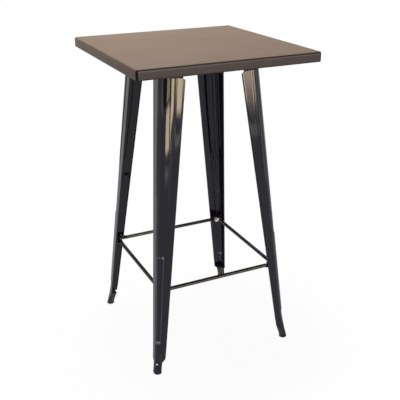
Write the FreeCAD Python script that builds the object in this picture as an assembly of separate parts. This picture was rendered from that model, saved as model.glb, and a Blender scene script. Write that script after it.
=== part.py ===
"""Square pub table: folded steel top, four pressed angle legs, bolted footrest ring.

Millimetres, +Z up. The origin is on the floor under the centre of the top.
+X is right, +Y is back. Each node is one STEP file in parts/.
"""
import FreeCAD, Part
import math
import os

Vec = FreeCAD.Vector
UP = Vec(0, 0, 1)
DIAGONAL = Vec(1, 1, 0).normalize()
ROOT2 = math.sqrt(2.0)

# ---- driving dimensions -------------------------------------------------------------

# Tabletop pan
top_width = 600.0
table_height = 1040.0
skirt_depth = 31.5
pan_sheet = 1.2
pan_edge_radius = 6.5
pan_corner_radius = 7.0
hem_width = 11.2

# Support rails under the pan: hat sections, open upwards
rail_sheet = 1.5
rail_web_width = 76.0
rail_depth = 18.0
rail_lip = 12.0
rail_end_gap = 1.0
cross_rail_web_width = 60.0

# Legs: pressed angles that lean out along the diagonals
leg_sheet = 1.5
leg_top_drop = 62.0
leg_corner_top = 171.0
leg_corner_floor = 255.9
leg_flange_top = 76.1
leg_flange_floor = 31.8
leg_radius_top = 37.0
leg_radius_floor = 19.5
lip_width = 5.6
lip_bend_radius = 2.4
top_chamfer_width = 8.5
top_chamfer_height = 5.5

# Tapered bead pressed into each flange, from the leg's top end down
flange_bead_edge = 26.4
flange_bead_width = 15.0
flange_bead_height = 1.8
flange_bead_full_drop = 158.0
flange_bead_tip_width = 4.5
flange_bead_tip_drop = 346.0

# Rounded bead pressed into the leg's corner, low down
corner_bead_bottom = 112.0
corner_bead_top = 408.0
corner_bead_height = 1.5
corner_bead_reach_bottom = 12.4
corner_bead_reach_top = 17.2

# Both beads: width of the sloping sides, how the slope shifts inside, length of the ends
bead_side = 1.5
bead_side_slant = 0.45
bead_run_out = 8.0

# Foot: the leg's end flares and wraps a moulded plug
foot_bend_height = 90.0
foot_steps = 6
foot_flare = 6.0
foot_radius = 13.8
foot_wrap = 20.5
flange_cut_low = 39.0
flange_cut_high = 50.0
flange_cut_reach = 22.0
pad_thickness = 4.0
pad_edge_radius = 1.5
plug_clearance = 0.25
plug_shoulder = 46.0
plug_dome = 9.0
plug_steps = 3
rivet_height = 36.0
rivet_shank_radius = 2.0
rivet_head_radius = 3.6
rivet_head_height = 1.6
rivet_depth = 7.0
rivet_seat_gap = 0.12

# Leg brackets: nested in the leg tops, bolted up to the rails
bracket_sheet = 2.5
bracket_arm = 68.0
bracket_overlap = 76.0
bolt_pattern = 33.0
lining_corner_ease = 1.0

# Footrest ring: round rods with flattened ends
ring_height = 291.0
ring_half_side = 212.5
rod_radius = 6.5
tab_thickness = 3.0
tab_height = 19.0
flatten_length = 13.0
neck_half_height = 8.2
neck_half_width = 3.2
stretcher_plate_sheet = 2.0
stretcher_plate_radial = 296.0
stretcher_plate_height = 24.0
stretcher_wing = 11.0

# Fasteners
hole_clearance = 0.3
thread_clearance = 0.05
edge_gap = 0.4
m6 = {"radius": 3.0, "across_flats": 10.0, "head": 4.0, "nut": 5.0, "washer_radius": 6.0, "washer": 1.6}
m8 = {"radius": 4.0, "across_flats": 13.0, "head": 5.3, "nut": 6.0, "washer_radius": 8.0, "washer": 1.6}
m6_length = 16.0
cap_nut_height = 11.0
cap_nut_crown = 1.2
cap_nut_wall = 3.0
bore_end_gap = 0.5

# Trimming blocks: their size, and how far they run past an edge
cutter = 400.0
past_edge = 5.0

# ---- derived sizes ------------------------------------------------------------------

half_top = top_width / 2
leg_height = table_height - leg_top_drop
flange_bead_full = leg_height - flange_bead_full_drop
flange_bead_tip = leg_height - flange_bead_tip_drop
pan_underside = table_height - pan_sheet
skirt_bottom = table_height - skirt_depth
rail_underside = pan_underside - rail_depth
bracket_top = rail_underside
bracket_corner = leg_corner_top - leg_sheet
bolt_centre = bracket_corner - bracket_arm / 2
rail_centre = bolt_centre
leg_lean = (leg_corner_floor - leg_corner_top) / leg_height
QUARTERS = {"back_right": 0, "back_left": 90, "front_left": 180, "front_right": 270}
SIDES = {"back": 0, "left": 90, "front": 180, "right": 270}


# ---- small helpers ------------------------------------------------------------------

def turned(shape, degrees):
    """A copy of the shape, turned about the table's vertical axis."""
    copy = shape.copy()
    copy.rotate(Vec(0, 0, 0), UP, degrees)
    return copy


def mirrored_across_diagonal(shape):
    """The same shape on the leg's other flange."""
    return shape.mirror(Vec(0, 0, 0), Vec(1, -1, 0))


def box(low, high):
    size = Vec(*high) - Vec(*low)
    return Part.makeBox(size.x, size.y, size.z, Vec(*low))


def polygon(points):
    return Part.makePolygon([Vec(*p) for p in points] + [Vec(*points[0])])


def prism(points, direction):
    return Part.Face(polygon(points)).extrude(Vec(*direction))


def one_solid(shape):
    """The single solid in a boolean's result."""
    clean = shape.removeSplitter()
    if len(clean.Solids) != 1:
        raise ValueError("expected one solid, found %d" % len(clean.Solids))
    return clean.Solids[0]


def hexagon(centre, axis, across_flats, height):
    """Hexagonal prism that stands on centre and rises along axis."""
    corner_radius = across_flats / math.sqrt(3.0)
    side = Vec(0, 0, 1) if abs(axis.z) < 0.5 else Vec(1, 0, 0)
    other = axis.cross(side)
    ring = []
    for i in range(6):
        angle = math.radians(60 * i + 30)
        spoke = side * math.cos(angle) + other * math.sin(angle)
        ring.append(centre + spoke * corner_radius)
    return Part.Face(Part.makePolygon(ring + [ring[0]])).extrude(axis * height)


# ---- leg geometry at a height -------------------------------------------------------

def along_leg(z, floor, top):
    """A value that runs evenly from the floor to the leg's top end."""
    return floor + (top - floor) * z / leg_height


def between(z, points):
    """Straight-line value at a height, from (height, value) pairs in rising order."""
    for (z0, v0), (z1, v1) in zip(points, points[1:]):
        if z <= z1:
            return v0 + (v1 - v0) * max(z - z0, 0.0) / (z1 - z0)
    return points[-1][1]


def corner_at(z):
    """Distance of the leg's virtual outer corner from the table's middle planes."""
    flare = foot_flare * (max(foot_bend_height - z, 0.0) / foot_bend_height) ** 2
    return along_leg(z, leg_corner_floor, leg_corner_top) + flare


def flange_at(z):
    return along_leg(z, leg_flange_floor, leg_flange_top)


def radius_at(z):
    """Outer corner radius, which tightens near the floor to hold the round plug."""
    straight = along_leg(z, leg_radius_floor, leg_radius_top)
    share = max(foot_bend_height - z, 0.0) / foot_bend_height
    return straight + (foot_radius - straight) * share * (2 - share)


def corner_bead_at(z):
    """Height of the corner bead, and how far from the virtual corner its crest reaches."""
    low, high = corner_bead_bottom, corner_bead_top
    height = between(z, [(low - bead_run_out, 0.0), (low, corner_bead_height),
                         (high, corner_bead_height), (high + bead_run_out, 0.0)])
    reach = between(z, [(low, corner_bead_reach_bottom), (high, corner_bead_reach_top)])
    return height, reach * min(radius_at(z) / radius_at(low), 1.0)


def flange_bead_at(z):
    """Height of the flange bead, and the distances of its two sides from the corner."""
    height = between(z, [(flange_bead_tip - bead_run_out, 0.0), (flange_bead_tip, flange_bead_height)])
    near = flange_bead_edge * min(radius_at(z) / radius_at(flange_bead_tip), 1.0)
    width = between(z, [(flange_bead_tip, flange_bead_tip_width), (flange_bead_full, flange_bead_width)])
    return height, near, near + width


def half_outline(z, inset):
    """Points along one flange from its lip to the corner bead, inset from the outer faces."""
    c, end, r = corner_at(z), corner_at(z) - flange_at(z), radius_at(z)
    rise, near, far = flange_bead_at(z)
    corner_rise, reach = corner_bead_at(z)
    slant = inset * bead_side_slant

    def at(u, raised):
        """Point at a distance u along the flange, raised off the flat or the corner's arc."""
        share = max(r - u, 0.0) / r
        radius = r + raised - inset
        return c - max(u, r) + radius * share, c - r + radius * math.sqrt(1 - share * share)

    return [(end + inset, c - lip_width), (end + inset, c - lip_bend_radius),
            (end + lip_bend_radius, c - inset), at(far - slant, 0.0),
            at(far - bead_side - slant, rise), at(near + bead_side + slant, rise),
            at(near + slant, 0.0), at(reach + bead_side - slant, 0.0), at(reach - slant, corner_rise)]


def leg_section(z):
    """Closed outline of the pressed sheet at one height, for the back right leg."""
    def line(start, finish):
        return Part.LineSegment(start, finish).toShape()

    def arc(start, centre, finish):
        outward = ((start + finish) / 2 - centre).normalize()
        return Part.Arc(start, centre + outward * (start - centre).Length, finish).toShape()

    def skin(inset):
        """Edges from one lip to the other."""
        near = [Vec(x, y, z) for x, y in half_outline(z, inset)]
        far = [Vec(p.y, p.x, p.z) for p in reversed(near)]
        bend_at = corner_at(z) - lip_bend_radius
        edge = corner_at(z) - flange_at(z) + lip_bend_radius
        middle = Vec(corner_at(z) - radius_at(z), corner_at(z) - radius_at(z), z)
        edges = [line(near[0], near[1]), arc(near[1], Vec(edge, bend_at, z), near[2])]
        edges += [line(p, q) for p, q in zip(near[2:6], near[3:7])]
        edges += [arc(near[6], middle, near[7]), line(near[7], near[8])]
        edges.append(arc(near[8], middle, far[0]))
        edges += [line(far[0], far[1]), arc(far[1], middle, far[2])]
        edges += [line(p, q) for p, q in zip(far[2:6], far[3:7])]
        edges += [arc(far[6], Vec(bend_at, edge, z), far[7]), line(far[7], far[8])]
        return edges, near[0], far[-1]

    outer, outer_first, outer_last = skin(0.0)
    inner, inner_first, inner_last = skin(leg_sheet)
    inner = [reversed_edge(e) for e in reversed(inner)]
    return Part.Wire(outer + [line(outer_last, inner_last)] + inner + [line(inner_first, outer_first)])


def reversed_edge(edge):
    """The same edge, drawn the other way."""
    curve = edge.Curve.copy()
    first, last = edge.valueAt(edge.FirstParameter), edge.valueAt(edge.LastParameter)
    middle = edge.valueAt((edge.FirstParameter + edge.LastParameter) / 2)
    if isinstance(curve, Part.Line):
        return Part.LineSegment(last, first).toShape()
    return Part.Arc(last, middle, first).toShape()


def channel_section(z, inset, reach):
    """Corner-shaped outline inside the leg's outer faces, to a reach from its corner."""
    c = corner_at(z) - inset
    r = max(radius_at(z) + lining_corner_ease - inset, 0.5)
    end = corner_at(z) - reach
    q = c - r * (1 - 1 / ROOT2)
    edges = [
        Part.LineSegment(Vec(end, end, z), Vec(end, c, z)).toShape(),
        Part.LineSegment(Vec(end, c, z), Vec(c - r, c, z)).toShape(),
        Part.Arc(Vec(c - r, c, z), Vec(q, q, z), Vec(c, c - r, z)).toShape(),
        Part.LineSegment(Vec(c, c - r, z), Vec(c, end, z)).toShape(),
        Part.LineSegment(Vec(c, end, z), Vec(end, end, z)).toShape(),
    ]
    return Part.Wire(edges)


def channel(z_low, z_high, inset, reach):
    """Solid that fills the leg's corner between two heights, inset from its outer faces."""
    return Part.makeLoft([channel_section(z, inset, reach) for z in (z_low, z_high)], True, True)


# ---- leg ----------------------------------------------------------------------------

def leg_stations():
    """Heights where the leg's section changes its run, from the pad to past its top end."""
    rise = (foot_bend_height - pad_thickness) / foot_steps
    foot = [pad_thickness + rise * step for step in range(foot_steps + 1)]
    low, high = corner_bead_bottom, corner_bead_top
    return foot + [low - bead_run_out, low, high, high + bead_run_out, flange_bead_tip - bead_run_out,
                   flange_bead_tip, flange_bead_full, leg_height + 2 * past_edge]


def top_end_cut():
    """Everything above the leg's top end, which is square to the leaning corner."""
    axis = Vec(-leg_lean, -leg_lean, 1).normalize()
    corner = Vec(leg_corner_top, leg_corner_top, leg_height)
    block = Part.makeBox(cutter, cutter, cutter, Vec(-cutter / 2, -cutter / 2, 0))
    block.Placement = FreeCAD.Placement(corner, FreeCAD.Rotation(UP, axis))
    return block


def flange_cut(z, outline):
    """Prism through the flange that faces back, lip and all, near one height."""
    depth = 2 * (lip_width + past_edge)
    y = corner_at(z) - depth / 2
    return prism([(x, y, height) for x, height in outline], (0, depth, 0))


def flange_end_cuts():
    """Corner cuts on the flange that faces back: one at its top end and one above the foot."""
    edge = corner_at(leg_height) - leg_flange_top
    edge_z = leg_height - leg_lean * leg_flange_top
    slope = top_chamfer_height / top_chamfer_width
    above = edge_z + 2 * past_edge
    top = flange_cut(leg_height, [
        (edge - past_edge, edge_z - top_chamfer_height - slope * past_edge),
        (edge + top_chamfer_width, edge_z), (edge + top_chamfer_width, above), (edge - past_edge, above)])
    wrap = corner_at(pad_thickness) - foot_wrap
    low = corner_at(flange_cut_low) - flange_cut_reach
    high = corner_at(flange_cut_high) - flange_at(flange_cut_high)
    slope = (flange_cut_high - flange_cut_low) / (low - high)
    foot = flange_cut(flange_cut_high, [
        (wrap, -past_edge), (low, flange_cut_low),
        (high - past_edge, flange_cut_high + slope * past_edge), (high - past_edge, -past_edge)])
    return [top, foot]


def face_radial(z):
    """Distance of the leg's rounded outer corner from the table's vertical axis."""
    return corner_at(z) * ROOT2 - radius_at(z) * (ROOT2 - 1)


def rivet_axis():
    """Where the rivet meets the leg's outer face, and the direction square into that face."""
    slope = (face_radial(rivet_height + 1) - face_radial(rivet_height - 1)) / 2
    outwards = (DIAGONAL - UP * slope).normalize()
    return DIAGONAL * face_radial(rivet_height) + UP * rivet_height, outwards * -1


def rivet_hole():
    face, inwards = rivet_axis()
    depth = rivet_depth + bore_end_gap + past_edge
    radius = rivet_shank_radius + thread_clearance
    return Part.makeCylinder(radius, depth, face - inwards * past_edge, inwards)


def make_leg():
    leg = Part.makeLoft([leg_section(z) for z in leg_stations()], True, True)
    cuts = flange_end_cuts()
    cuts += [mirrored_across_diagonal(c) for c in cuts]
    return one_solid(leg.cut(cuts + [top_end_cut(), rivet_hole()]))


# ---- foot plug and rivet ------------------------------------------------------------

def plug_circle(z):
    centre = corner_at(z) - radius_at(z)
    radius = radius_at(z) - leg_sheet - plug_clearance
    return Part.Wire(Part.makeCircle(radius, Vec(centre, centre, z)))


def make_foot_plug():
    """Moulded plug: a round pad, a shank that follows the leg's inside, and a domed top."""
    rise = (plug_shoulder - pad_thickness) / plug_steps
    heights = [pad_thickness + rise * step for step in range(plug_steps + 1)]
    shank = Part.makeLoft([plug_circle(z) for z in heights], True, False)
    centre = corner_at(plug_shoulder) - radius_at(plug_shoulder)
    radius = radius_at(plug_shoulder) - leg_sheet - plug_clearance
    dome = Part.makeSphere(radius, Vec(0, 0, 0), UP, 0, 90, 360)
    squash = FreeCAD.Matrix()
    squash.scale(1, 1, plug_dome / radius)
    dome = dome.transformGeometry(squash)
    dome.translate(Vec(centre, centre, plug_shoulder))
    pad_centre = corner_at(pad_thickness) - radius_at(pad_thickness)
    pad = Part.makeCylinder(foot_radius, pad_thickness, Vec(pad_centre, pad_centre, 0))
    bottom_edge = [e for e in pad.Edges if e.BoundBox.ZMax < 0.01]
    pad = pad.makeFillet(pad_edge_radius, bottom_edge)
    return one_solid(pad.fuse([shank, dome]).cut(rivet_hole()))


def make_rivet():
    """Domed rivet whose flat underside touches down on the leg's rounded face."""
    face, inwards = rivet_axis()
    shank = Part.makeCylinder(rivet_shank_radius, rivet_depth, face, inwards)
    seat = face - inwards * rivet_seat_gap
    bulge = (rivet_head_radius ** 2 + rivet_head_height ** 2) / (2 * rivet_head_height)
    ball = Part.makeSphere(bulge, seat + inwards * (bulge - rivet_head_height))
    limit = Part.makeCylinder(rivet_head_radius + edge_gap, rivet_head_height + edge_gap, seat, inwards * -1)
    neck = Part.makeCylinder(rivet_shank_radius, rivet_seat_gap, face, inwards * -1)
    return one_solid(ball.common(limit).fuse([shank, neck]))


# ---- leg bracket --------------------------------------------------------------------

def lining(z_low, z_high, sheet, reach):
    """Sheet that lies on the inside of both flanges, to a reach from the leg's corner."""
    outer = channel(z_low, z_high, leg_sheet, reach)
    return outer.cut(channel(z_low, z_high, leg_sheet + sheet, reach + past_edge))


def make_leg_bracket():
    """Angle that lines the leg's top, rises straight above it and ends in a flat plate."""
    nested = lining(leg_height - bracket_overlap, leg_height, bracket_sheet, bracket_arm)
    outer = Part.Face(channel_section(leg_height, leg_sheet, bracket_arm))
    inner = Part.Face(channel_section(leg_height, leg_sheet + bracket_sheet, bracket_arm + past_edge))
    upright = outer.cut(inner).extrude(UP * (bracket_top - leg_height))
    plate = outer.extrude(UP * bracket_sheet)
    plate.translate(UP * (bracket_top - bracket_sheet - leg_height))
    holes = [bolt_hole(x, y, bracket_top - bracket_sheet, bracket_sheet) for x, y in bolt_places()]
    return one_solid(nested.fuse([upright, plate]).cut(holes))


def bolt_hole(x, y, z, sheet):
    """Clearance hole for an upright M6 bolt through a sheet whose lower face is at z."""
    return Part.makeCylinder(m6["radius"] + hole_clearance, sheet + 2 * edge_gap, Vec(x, y, z - edge_gap))


def bolt_places():
    """Four bolts in a square on each bracket's top plate, for the back right leg."""
    half = bolt_pattern / 2
    return [(bolt_centre + sx * half, bolt_centre + sy * half) for sx in (-1, 1) for sy in (-1, 1)]


# ---- tabletop pan and rails ---------------------------------------------------------

def rounded_block(half, low, high, corner_radius, edge_radius):
    block = box((-half, -half, low), (half, half, high))
    upright = [e for e in block.Edges if abs(e.tangentAt(e.FirstParameter).z) > 0.9]
    block = block.makeFillet(corner_radius, upright)
    rim = [e for e in block.Edges if e.BoundBox.ZMin > high - 0.01]
    return block.makeFillet(edge_radius, rim)


def make_pan():
    """One folded sheet: flat top, skirt on all four sides and a hem turned in at its foot."""
    outer = rounded_block(half_top, skirt_bottom, table_height, pan_corner_radius, pan_edge_radius)
    inner = rounded_block(half_top - pan_sheet, skirt_bottom + pan_sheet, pan_underside,
                          pan_corner_radius - pan_sheet, pan_edge_radius - pan_sheet)
    mouth = half_top - hem_width
    opening = box((-mouth, -mouth, skirt_bottom - past_edge), (mouth, mouth, skirt_bottom + 2 * pan_sheet))
    return one_solid(outer.cut([inner, opening]))


def hat_outline(x, centre, web_width):
    """Hat section in the plane of one x, open towards the pan."""
    t, half = rail_sheet, web_width / 2
    low, high = rail_underside, pan_underside
    right = [(half + rail_lip, high), (half + rail_lip, high - t), (half, high - t), (half, low)]
    inner = [(half - t, low + t), (half - t, high)]
    outline = right + [(-y, z) for y, z in reversed(right)]
    outline += [(-y, z) for y, z in reversed(inner)] + inner
    return [(x, centre + y, z) for y, z in outline]


def make_long_rail():
    """The back rail, drilled for two leg brackets."""
    end = half_top - pan_edge_radius - rail_end_gap
    rail = prism(hat_outline(-end, rail_centre, rail_web_width), (2 * end, 0, 0))
    holes = [bolt_hole(side * x, y, rail_underside, rail_sheet) for side in (-1, 1) for x, y in bolt_places()]
    return one_solid(rail.cut(holes))


def make_cross_rail():
    end = rail_centre - rail_web_width / 2 - rail_lip
    rail = prism(hat_outline(-end, 0.0, cross_rail_web_width), (2 * end, 0, 0))
    return one_solid(turned(rail, 90))


# ---- bracket fasteners --------------------------------------------------------------

def bracket_bolt(x, y):
    under_washer = bracket_top - bracket_sheet - m6["washer"]
    head = hexagon(Vec(x, y, under_washer - m6["head"]), UP, m6["across_flats"], m6["head"])
    shank = Part.makeCylinder(m6["radius"], m6_length, Vec(x, y, under_washer))
    return one_solid(head.fuse(shank))


def bracket_washer(x, y):
    base = Vec(x, y, bracket_top - bracket_sheet - m6["washer"])
    disc = Part.makeCylinder(m6["washer_radius"], m6["washer"], base)
    return one_solid(disc.cut(Part.makeCylinder(m6["radius"] + hole_clearance, m6["washer"], base)))


def bracket_nut(x, y):
    base = Vec(x, y, rail_underside + rail_sheet)
    nut = hexagon(base, UP, m6["across_flats"], m6["nut"])
    return one_solid(nut.cut(Part.makeCylinder(m6["radius"] + thread_clearance, m6["nut"], base)))


# ---- footrest ring ------------------------------------------------------------------

plate_inner_face = stretcher_plate_radial - stretcher_plate_sheet / 2
plate_outer_face = stretcher_plate_radial + stretcher_plate_sheet / 2
washer_face = plate_inner_face - 2 * tab_thickness
cap_nut_face = washer_face - m8["washer"]
ring_bolt_length = plate_outer_face - cap_nut_face + cap_nut_height - cap_nut_wall
tab_offset = rod_radius - tab_thickness / 2


def on_diagonal(radial):
    return DIAGONAL * radial + Vec(0, 0, ring_height)


def make_stretcher_bracket():
    """Plate across the leg's channel, with wings that lie on the flanges."""
    low = ring_height - stretcher_plate_height / 2
    high = ring_height + stretcher_plate_height / 2
    reach = flange_at(low) - lip_bend_radius - edge_gap
    across = Part.makeBox(stretcher_plate_sheet, cutter, cutter, Vec(0, -cutter / 2, -cutter / 2))
    wings = Part.makeBox(stretcher_wing, cutter, cutter, Vec(0, -cutter / 2, -cutter / 2))
    for block in (across, wings):
        block.Placement = FreeCAD.Placement(on_diagonal(plate_inner_face), FreeCAD.Rotation(UP, 45))
    plate = channel(low, high, leg_sheet, reach).common(across)
    bracket = plate.fuse(lining(low, high, stretcher_plate_sheet, reach).common(wings))
    return one_solid(bracket.cut(ring_bolt_hole(plate_inner_face, plate_outer_face)))


def ring_bolt_hole(inner, outer):
    """Clearance hole for a ring bolt, through everything between two distances from the middle."""
    length = outer - inner + 2 * edge_gap
    return Part.makeCylinder(m8["radius"] + hole_clearance, length, on_diagonal(inner - edge_gap), DIAGONAL)


def rod_outline(centre, direction, half_height, half_width):
    """Closed outline across a rod, square to its direction and taller than it is wide."""
    if half_height == half_width:
        ring = Part.makeCircle(half_height)
    else:
        ring = Part.Ellipse(Vec(0, 0, 0), half_height, half_width).toShape()
    ring.Placement = FreeCAD.Placement(centre, FreeCAD.Rotation(UP, direction.cross(UP), direction, "ZXY"))
    return Part.Wire(ring)


def rod_end(layer):
    """Flattened tab at the +X end of the back rod, seated on the given layer of the stack.

    The end is pressed flat towards the rod's outer side, then bent onto the diagonal.
    """
    tab_radial = plate_inner_face - (layer + 0.5) * tab_thickness
    tab_direction = Vec(1, -1, 0).normalize()
    tab_y = ring_half_side + tab_offset
    bend = Vec(tab_radial * ROOT2 - tab_y, tab_y, ring_height)
    start = bend.x - flatten_length
    middle = Vec(bend.x - flatten_length / 2, ring_half_side + rod_radius - neck_half_width, ring_height)
    inside_tab = bend + tab_direction * (2 * edge_gap)
    round_end = Vec(start, ring_half_side, ring_height)
    neck = Part.makeLoft([
        rod_outline(round_end, Vec(1, 0, 0), rod_radius, rod_radius),
        rod_outline(middle, Vec(1, 0, 0), neck_half_height, neck_half_width),
        rod_outline(inside_tab, tab_direction, tab_height / 2 - edge_gap, tab_thickness / 2 - edge_gap / 2),
    ], True, False)
    centre = on_diagonal(tab_radial)
    to_face = DIAGONAL * (-tab_thickness / 2)
    disc = Part.makeCylinder(tab_height / 2, tab_thickness, centre + to_face, DIAGONAL)
    rise = UP * (tab_height / 2)
    corners = [p + to_face for p in (bend - rise, centre - rise, centre + rise, bend + rise)]
    strip = prism([tuple(c) for c in corners], tuple(DIAGONAL * tab_thickness))
    hole = ring_bolt_hole(tab_radial - tab_thickness / 2, tab_radial + tab_thickness / 2)
    return neck.fuse([disc, strip]).cut(hole), start


def make_stretcher():
    """The back rod: one tab lies on the bracket, the other on its neighbour's tab."""
    right, right_start = rod_end(0)
    left, left_start = rod_end(1)
    left = left.mirror(Vec(0, 0, 0), Vec(1, 0, 0))
    length = right_start + left_start
    rod = Part.makeCylinder(rod_radius, length, Vec(-left_start, ring_half_side, ring_height), Vec(1, 0, 0))
    return one_solid(rod.fuse([right, left]))


def ring_bolt():
    inwards = DIAGONAL * -1
    head = hexagon(on_diagonal(plate_outer_face), DIAGONAL, m8["across_flats"], m8["head"])
    shank = Part.makeCylinder(m8["radius"], ring_bolt_length, on_diagonal(plate_outer_face), inwards)
    return one_solid(head.fuse(shank))


def ring_washer():
    start, inwards = on_diagonal(washer_face), DIAGONAL * -1
    disc = Part.makeCylinder(m8["washer_radius"], m8["washer"], start, inwards)
    return one_solid(disc.cut(Part.makeCylinder(m8["radius"] + hole_clearance, m8["washer"], start, inwards)))


def ring_cap_nut():
    """Hexagon with a domed end and a blind threaded bore."""
    start, inwards = on_diagonal(cap_nut_face), DIAGONAL * -1
    hexa = hexagon(start, inwards, m8["across_flats"], m8["nut"])
    dome_radius = cap_nut_height - m8["nut"] + cap_nut_crown
    dome = Part.makeSphere(dome_radius, start + inwards * (cap_nut_height - dome_radius))
    dome = dome.common(Part.makeCylinder(dome_radius, cap_nut_height, start, inwards))
    bore_depth = cap_nut_height - cap_nut_wall + bore_end_gap
    bore = Part.makeCylinder(m8["radius"] + thread_clearance, bore_depth, start, inwards)
    return one_solid(hexa.fuse(dome).cut(bore))


# ---- build --------------------------------------------------------------------------

def at_quarters(shapes):
    """One compound with a copy of each shape at all four legs."""
    return Part.makeCompound([turned(s, angle) for angle in QUARTERS.values() for s in shapes])


def write(name, shape):
    shape.exportStep("parts/%s.step" % name)


def main():
    os.makedirs("parts", exist_ok=True)
    write("tabletop_pan", make_pan())
    long_rail = make_long_rail()
    write("support_rail_back", long_rail)
    write("support_rail_front", turned(long_rail, 180))
    write("support_rail_cross", make_cross_rail())

    corner_pieces = {
        "leg": make_leg(),
        "leg_bracket": make_leg_bracket(),
        "stretcher_bracket": make_stretcher_bracket(),
        "foot_plug": make_foot_plug(),
    }
    for piece, shape in corner_pieces.items():
        for place, angle in QUARTERS.items():
            write("%s_%s" % (piece, place), turned(shape, angle))

    stretcher = make_stretcher()
    for place, angle in SIDES.items():
        write("stretcher_%s" % place, turned(stretcher, angle))

    places = bolt_places()
    write("bracket_bolts", at_quarters([bracket_bolt(x, y) for x, y in places]))
    write("bracket_washers", at_quarters([bracket_washer(x, y) for x, y in places]))
    write("bracket_nuts", at_quarters([bracket_nut(x, y) for x, y in places]))
    write("stretcher_bolts", at_quarters([ring_bolt()]))
    write("stretcher_washers", at_quarters([ring_washer()]))
    write("stretcher_cap_nuts", at_quarters([ring_cap_nut()]))
    write("foot_rivets", at_quarters([make_rivet()]))


main()
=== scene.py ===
"""Dresses the pub table: folded bronze top, pressed lacquered legs, footrest ring, bright fasteners.

Metres, +Z up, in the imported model's own frame. Each leg and foot plug is shaped at the back
right corner and then turned about the table's middle to its own corner.
"""

import math

import bmesh
import bpy
from bpy.props import FloatProperty, FloatVectorProperty, PointerProperty
from mathutils import Matrix, Vector


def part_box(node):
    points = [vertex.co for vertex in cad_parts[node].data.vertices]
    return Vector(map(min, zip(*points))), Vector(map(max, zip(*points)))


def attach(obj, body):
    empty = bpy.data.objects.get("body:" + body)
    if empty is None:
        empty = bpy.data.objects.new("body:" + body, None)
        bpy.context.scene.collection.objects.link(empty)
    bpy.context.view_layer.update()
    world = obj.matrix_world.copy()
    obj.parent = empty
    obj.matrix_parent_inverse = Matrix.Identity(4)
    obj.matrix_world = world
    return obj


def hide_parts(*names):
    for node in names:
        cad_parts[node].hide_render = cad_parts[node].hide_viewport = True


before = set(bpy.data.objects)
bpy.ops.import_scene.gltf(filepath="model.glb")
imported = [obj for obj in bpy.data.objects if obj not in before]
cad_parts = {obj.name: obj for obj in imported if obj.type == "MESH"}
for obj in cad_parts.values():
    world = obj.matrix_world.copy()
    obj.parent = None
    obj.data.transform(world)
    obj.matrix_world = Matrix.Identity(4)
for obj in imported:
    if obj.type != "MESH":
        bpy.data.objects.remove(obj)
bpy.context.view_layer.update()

bl_info = {
    "name": "Pub table",
    "version": (1, 0, 0),
    "blender": (4, 5, 0),
    "location": "View3D > Sidebar > Pub Table",
    "description": "Builds a bar-height metal table piece by piece",
    "category": "Object",
}

MM = 0.001
CORNERS = {"back_right": 0, "back_left": 90, "front_left": 180, "front_right": 270}
SIDES = ("back", "left", "front", "right")

# ---- sizes --------------------------------------------------------------------------

LEG_SHEET = 1.5 * MM
LEG_HEIGHT = 978.0 * MM
LEG_CORNER_TOP = 171.0 * MM
LEG_CORNER_FLOOR = 255.9 * MM
LEG_FLANGE_TOP = 76.1 * MM
LEG_FLANGE_FLOOR = 31.8 * MM
LEG_RADIUS_TOP = 37.0 * MM
LEG_RADIUS_FLOOR = 19.5 * MM
LIP_WIDTH = 5.6 * MM
LIP_BEND = 2.4 * MM
CHAMFER_WIDTH = 8.5 * MM
CHAMFER_HEIGHT = 5.5 * MM
LEG_LEAN = (LEG_CORNER_FLOOR - LEG_CORNER_TOP) / LEG_HEIGHT
CHAMFER_START = LEG_HEIGHT - LEG_LEAN * LEG_FLANGE_TOP - CHAMFER_HEIGHT

BEAD_SIDE = 1.5 * MM
BEAD_SHOULDER = 4.4 * MM
BEAD_RUN_OUT = 8.0 * MM
FLANGE_RUN_OUT = 60.0 * MM
FLANGE_BEAD_EDGE = 26.4 * MM
FLANGE_BEAD_WIDTH = 15.0 * MM
FLANGE_BEAD_TIP_WIDTH = 4.5 * MM
FLANGE_BEAD_RISE = 1.8 * MM
FLANGE_BEAD_FULL = 820.0 * MM
FLANGE_BEAD_TIP = 632.0 * MM
CORNER_BEAD_LOW = 112.0 * MM
CORNER_BEAD_HIGH = 408.0 * MM
CORNER_BEAD_RISE = 1.5 * MM
CORNER_BEAD_REACH_LOW = 12.4 * MM
CORNER_BEAD_REACH_HIGH = 17.2 * MM
BEAD_FOOT_GAP = 0.1 * MM

POINT_GAP = 0.02 * MM
SHOULDER_STEPS = 6
FLAT_STEPS = 4
LIP_STEPS = 4
ARC_STEPS = 7

PAD_THICKNESS = 4.0 * MM
PAD_RADIUS = 13.8 * MM
FOOT_BEND = 90.0 * MM
FOOT_FLARE = 6.0 * MM
FOOT_WRAP = 20.5 * MM
FOOT_CUT_LOW = 39.0 * MM
FOOT_CUT_HIGH = 50.0 * MM
FOOT_CUT_REACH = 22.0 * MM
PLUG_GAP = 0.25 * MM
PLUG_SHOULDER = 46.0 * MM
PLUG_DOME = 9.0 * MM
PAD_EDGE = 1.5 * MM
PAD_STEP = 0.4 * MM
PLUG_SEGMENTS = 40
PLUG_STEPS = 8
DOME_STEPS = 7

PAN_SHEET = 1.2 * MM
PAN_CORNER = 7.0 * MM
PAN_EDGE = 6.5 * MM
PAN_HEM = 10.0 * MM
PAN_HEM_BEND = 1.6 * MM
FOLD_RADIANS = 1.0
SEAM_DEPTH = 0.35 * MM

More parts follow.
